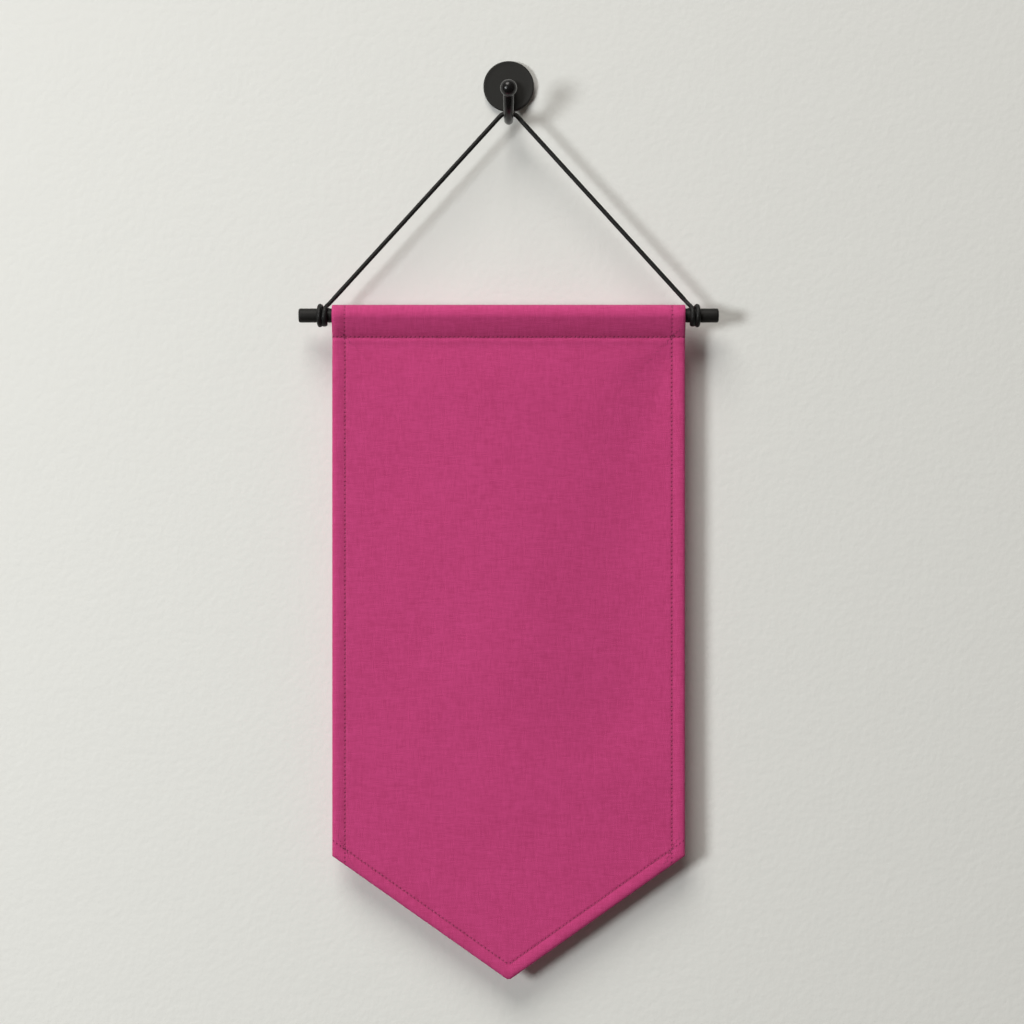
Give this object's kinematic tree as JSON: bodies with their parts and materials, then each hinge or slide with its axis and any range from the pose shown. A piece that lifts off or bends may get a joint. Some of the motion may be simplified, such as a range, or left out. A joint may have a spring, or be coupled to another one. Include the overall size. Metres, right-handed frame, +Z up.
{
  "type": "pin display pennant with hanging rod and wall hook",
  "caption": "Pointed canvas pennant that hangs from a rod and a cord on a wall hook, for showing pins.",
  "frame": {"origin": "centre of the hook plate's back face, on the wall", "axes": "+Y out of the plate's back face, into the wall; +Z up, along the cloth's length"},
  "size_m": [0.238, 0.042, 0.5237],
  "materials": {
    "canvas": "matte",
    "rod_black": "satin",
    "cord_black": "matte",
    "plate_black": "matte",
    "arm_black": "gloss"
  },
  "bodies": {
    "root": {"pennant": "canvas", "rod": "rod_black", "hanger_cord": "cord_black", "knot_left": "cord_black", "knot_right": "cord_black", "hook_plate": "plate_black", "hook_arm": "arm_black"}
  },
  "joints": []
}
